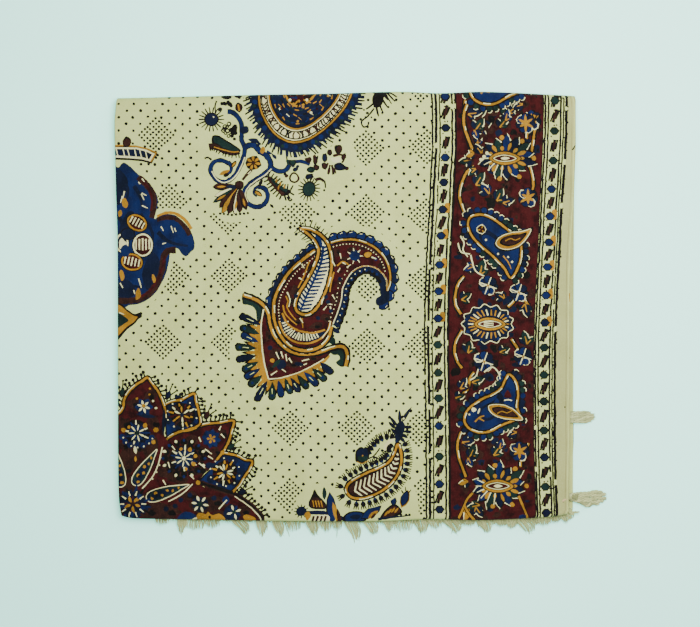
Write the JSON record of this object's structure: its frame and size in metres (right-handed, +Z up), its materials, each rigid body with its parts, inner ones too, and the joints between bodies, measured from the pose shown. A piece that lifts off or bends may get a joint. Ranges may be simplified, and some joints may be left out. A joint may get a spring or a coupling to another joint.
{
  "type": "folded kalamkari panel",
  "caption": "Cotton cloth block-printed with paisleys, a medallion and a flowered border, folded flat into a low square stack, with knotted fringe and side tassels.",
  "frame": {"origin": "middle of the part's box, on the surface that it lies on", "axes": "+Z up, +X from the left fold towards the open edges and side tassels, +Y from the fringed bottom edge towards the top fold"},
  "size_m": [0.538, 0.4912, 0.0127],
  "materials": {
    "printed_cotton": "matt plain weave, block printed",
    "fringe_cotton": "matt loose yarn",
    "tassel_cotton": "matt loose yarn"
  },
  "bodies": {
    "root": {"folded_panel": "printed_cotton", "fringe_lower_end": "fringe_cotton", "fringe_inner_end": "fringe_cotton", "side_tassel_upper": "tassel_cotton", "side_tassel_lower": "tassel_cotton"}
  },
  "joints": []
}
